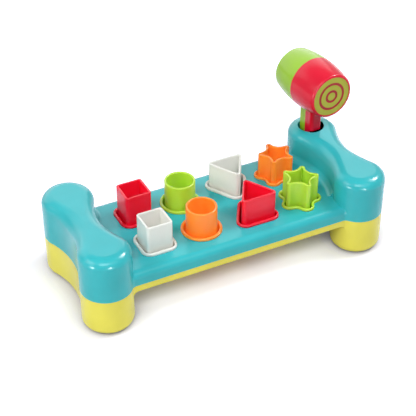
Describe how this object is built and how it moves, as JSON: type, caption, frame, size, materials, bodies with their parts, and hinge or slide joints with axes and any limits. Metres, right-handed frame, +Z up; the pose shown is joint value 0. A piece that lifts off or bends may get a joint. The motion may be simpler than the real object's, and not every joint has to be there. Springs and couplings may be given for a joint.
{
  "type": "shape sorter pounding toy",
  "caption": "Toy pounding bench with bone-shaped end blocks, open hollow pegs in matching shaped collars, and a barrel-headed hammer kept in a socket.",
  "frame": {"origin": "middle of the plan box of the whole toy, on the surface that the feet stand on", "axes": "+X along the bench towards the hammer, +Y towards the back where the hammer's socket is, +Z up"},
  "size_m": [0.359, 0.1688, 0.1852],
  "materials": {
    "turquoise_plastic": "moulded gloss",
    "yellow_plastic": "moulded gloss",
    "red_plastic": "moulded gloss",
    "lime_plastic": "moulded gloss",
    "orange_plastic": "moulded gloss",
    "white_plastic": "moulded gloss",
    "lime_pad": "soft matt moulding",
    "red_pad": "soft matt moulding",
    "screw_steel": "plain zinc"
  },
  "bodies": {
    "bench": {"top_shell": "turquoise_plastic", "base_tray": "yellow_plastic", "square_collar_white": "white_plastic", "square_collar_red": "red_plastic", "round_collar_orange": "orange_plastic", "round_collar_green": "lime_plastic", "triangle_collar_red": "red_plastic", "triangle_collar_white": "white_plastic", "star_collar_green": "lime_plastic", "star_collar_orange": "orange_plastic", "base_screws": "screw_steel"},
    "square_peg_white": {"square_peg_white": "white_plastic"},
    "square_peg_red": {"square_peg_red": "red_plastic"},
    "round_peg_orange": {"round_peg_orange": "orange_plastic"},
    "round_peg_green": {"round_peg_green": "lime_plastic"},
    "triangle_peg_red": {"triangle_peg_red": "red_plastic"},
    "triangle_peg_white": {"triangle_peg_white": "white_plastic"},
    "star_peg_green": {"star_peg_green": "lime_plastic"},
    "star_peg_orange": {"star_peg_orange": "orange_plastic"},
    "hammer": {"hammer_half_red": "red_plastic", "hammer_half_green": "lime_plastic", "strike_pad_lime": "lime_pad", "strike_pad_red": "red_pad", "hammer_screws": "screw_steel"}
  },
  "joints": [
    {"name": "square_peg_white_slide", "type": "slide", "parent": "bench", "child": "square_peg_white", "axis": [0, 0, 1], "range_m": [-0.0301, 0.0279]},
    {"name": "square_peg_red_slide", "type": "slide", "parent": "bench", "child": "square_peg_red", "axis": [0, 0, 1], "range_m": [-0.0332, 0.0248]},
    {"name": "round_peg_orange_slide", "type": "slide", "parent": "bench", "child": "round_peg_orange", "axis": [0, 0, 1], "range_m": [-0.0279, 0.0301]},
    {"name": "round_peg_green_slide", "type": "slide", "parent": "bench", "child": "round_peg_green", "axis": [0, 0, 1], "range_m": [-0.0275, 0.0305]},
    {"name": "triangle_peg_red_slide", "type": "slide", "parent": "bench", "child": "triangle_peg_red", "axis": [0, 0, 1], "range_m": [-0.0292, 0.0288]},
    {"name": "triangle_peg_white_slide", "type": "slide", "parent": "bench", "child": "triangle_peg_white", "axis": [0, 0, 1], "range_m": [-0.0285, 0.0295]},
    {"name": "star_peg_green_slide", "type": "slide", "parent": "bench", "child": "star_peg_green", "axis": [0, 0, 1], "range_m": [-0.0287, 0.0293]},
    {"name": "star_peg_orange_slide", "type": "slide", "parent": "bench", "child": "star_peg_orange", "axis": [0, 0, 1], "range_m": [-0.0268, 0.0312]},
    {"name": "hammer_lift", "type": "slide", "parent": "bench", "child": "hammer", "axis": [0, 0, 1], "range_m": [0, 0.08]}
  ]
}
